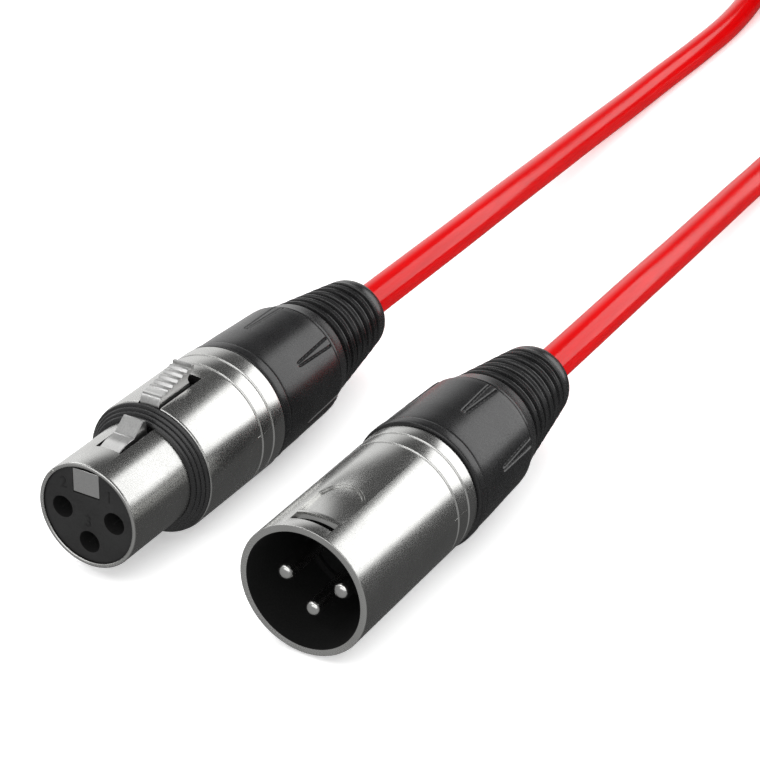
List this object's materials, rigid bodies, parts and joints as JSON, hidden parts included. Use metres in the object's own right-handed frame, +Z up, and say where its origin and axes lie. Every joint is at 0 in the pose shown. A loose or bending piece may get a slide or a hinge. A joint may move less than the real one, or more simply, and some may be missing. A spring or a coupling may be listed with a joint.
{
  "type": "xlr cable coil",
  "caption": "Balanced microphone cable with a latching female and a plain male XLR connector side by side, its length wound into a tied coil.",
  "frame": {"origin": "on the floor, midway between the two connectors and halfway along the female one", "axes": "+Z up with the female latch on top, mating faces towards -Y, cable leaving along +Y, female connector on the -X side"},
  "size_m": [0.092, 0.3495, 0.0223],
  "materials": {
    "satin_nickel": "satin nickel plate on zinc",
    "satin_steel": "satin nickel plated lever",
    "spring_steel": "bright spring steel",
    "pin_nickel": "polished nickel plate",
    "gold_plating": "gold plate on bronze",
    "bare_copper": "bare copper strand",
    "insert_plastic": "moulded, matt",
    "boot_plastic": "moulded, fine satin grain",
    "grey_plastic": "moulded acetal",
    "black_rubber": "soft moulded rubber",
    "black_strap": "hook and loop strap",
    "red_jacket": "smooth flexible jacket",
    "white_insulation": "core insulation",
    "blue_insulation": "core insulation"
  },
  "bodies": {
    "root": {"female_shell": "satin_nickel", "female_ring": "black_rubber", "female_insert": "insert_plastic", "female_contact_1": "gold_plating", "female_contact_2": "gold_plating", "female_contact_3": "gold_plating", "female_latch_spring": "spring_steel", "female_chuck": "grey_plastic", "female_cable_end": "red_jacket", "female_core_hot": "white_insulation", "female_core_cold": "blue_insulation", "female_core_shield": "bare_copper", "male_shell": "satin_nickel", "male_insert": "insert_plastic", "male_pin_1": "pin_nickel", "male_pin_2": "pin_nickel", "male_pin_3": "pin_nickel", "male_chuck": "grey_plastic", "male_cable_end": "red_jacket", "male_core_hot": "white_insulation", "male_core_cold": "blue_insulation", "male_core_shield": "bare_copper", "cable_female_side": "red_jacket", "cable_male_side": "red_jacket", "cable_coil": "red_jacket", "coil_tie": "black_strap"},
    "latch": {"female_latch": "satin_steel"},
    "female_boot": {"female_bend_relief": "black_rubber"},
    "female_nut": {"female_gland_nut": "boot_plastic"},
    "male_boot": {"male_bend_relief": "black_rubber"},
    "male_nut": {"male_gland_nut": "boot_plastic"}
  },
  "joints": [
    {"name": "latch_press", "type": "hinge", "parent": "root", "child": "latch", "pos_m": [-0.01698, -0.03375, 0.0151], "axis": [-1, 0, 0], "range_deg": [0, 7], "stiffness_Nm_per_rad": 0.3, "springref_deg": -8.59, "deforming": ["female_latch_spring"]},
    {"name": "female_boot_travel", "type": "slide", "parent": "root", "child": "female_boot", "axis": [0, 1, 0], "range_m": [0, 0.005]},
    {"name": "female_nut_turn", "type": "hinge", "parent": "female_boot", "child": "female_nut", "pos_m": [-0.01698, -0.00145, 0.0101], "axis": [0, 1, 0], "range_deg": [0, 1800]},
    {"name": "male_boot_travel", "type": "slide", "parent": "root", "child": "male_boot", "axis": [0, 1, 0], "range_m": [0, 0.005]},
    {"name": "male_nut_turn", "type": "hinge", "parent": "male_boot", "child": "male_nut", "pos_m": [0.01713, -0.00575, 0.0101], "axis": [0, 1, 0], "range_deg": [0, 1800]}
  ],
  "couplings": [
    {"joint": "female_boot_travel", "follows": "female_nut_turn", "m_per_rad": 0.000159},
    {"joint": "male_boot_travel", "follows": "male_nut_turn", "m_per_rad": 0.000159}
  ]
}
